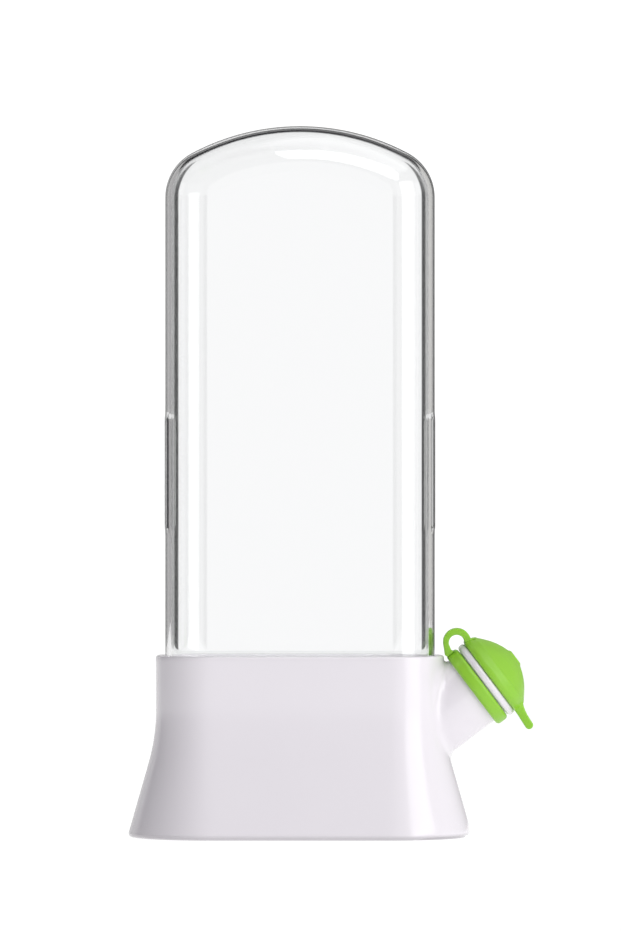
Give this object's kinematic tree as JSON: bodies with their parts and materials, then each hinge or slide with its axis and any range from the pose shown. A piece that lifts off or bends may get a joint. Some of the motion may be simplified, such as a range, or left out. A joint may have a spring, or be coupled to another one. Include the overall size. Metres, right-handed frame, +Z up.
{
  "type": "herb keeper",
  "caption": "Clear lift-off hood over a flared white water base with a removable stem rack and a slanted filler spout closed by a hinged silicone cap.",
  "frame": {"origin": "centre of the base's foot, on the surface that the object stands on", "axes": "+Z up, the broad front faces -Y, the spout points towards +X"},
  "size_m": [0.1659, 0.0748, 0.29],
  "materials": {
    "white_base": "gloss injection-moulded plastic",
    "white_rack": "satin injection-moulded plastic",
    "clear_hood": "clear polished plastic",
    "green_silicone": "soft satin silicone"
  },
  "bodies": {
    "base": {"base_shell": "white_base", "base_plate": "white_base", "cap_collar": "green_silicone", "cap_strap": "green_silicone"},
    "rack": {"stem_rack": "white_rack"},
    "hood": {"hood": "clear_hood"},
    "cap": {"spout_cap": "green_silicone"}
  },
  "joints": [
    {"name": "hood_lift", "type": "slide", "parent": "base", "child": "hood", "axis": [0, 0, 1], "range_m": [0, 0.24]},
    {"name": "rack_lift", "type": "slide", "parent": "base", "child": "rack", "axis": [0, 0, 1], "range_m": [0, 0.1]},
    {"name": "cap_swing", "type": "hinge", "parent": "base", "child": "cap", "pos_m": [0.06416, 0, 0.07939], "axis": [0, -1, 0], "range_deg": [0, 110], "deforming": ["cap_strap"]}
  ]
}
